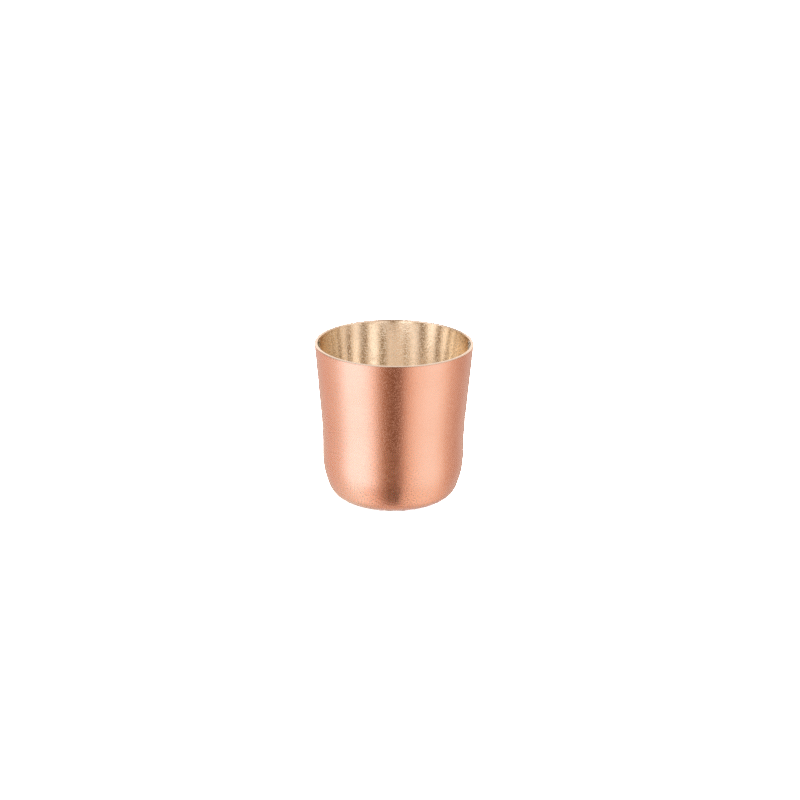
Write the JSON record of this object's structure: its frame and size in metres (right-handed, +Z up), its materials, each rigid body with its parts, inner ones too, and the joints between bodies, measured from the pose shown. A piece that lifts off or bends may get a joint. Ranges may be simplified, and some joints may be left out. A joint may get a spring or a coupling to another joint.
{
  "type": "bar jigger",
  "caption": "Small footless copper measuring cup: tapered wall, soft waist and rounded flat base, tin lined inside and over the lip, for measuring spirits at a bar.",
  "frame": {"origin": "centre of the flat base, on the cup's axis, at the resting plane", "axes": "+Z up along the cup's axis of revolution, from the base to the open mouth; X and Y are equivalent, and the front is taken as -Y"},
  "size_m": [0.0496, 0.0496, 0.05],
  "materials": {
    "copper": "satin",
    "lining": "satin"
  },
  "bodies": {
    "root": {"copper_shell": "copper", "tin_lining": "lining"}
  },
  "joints": []
}
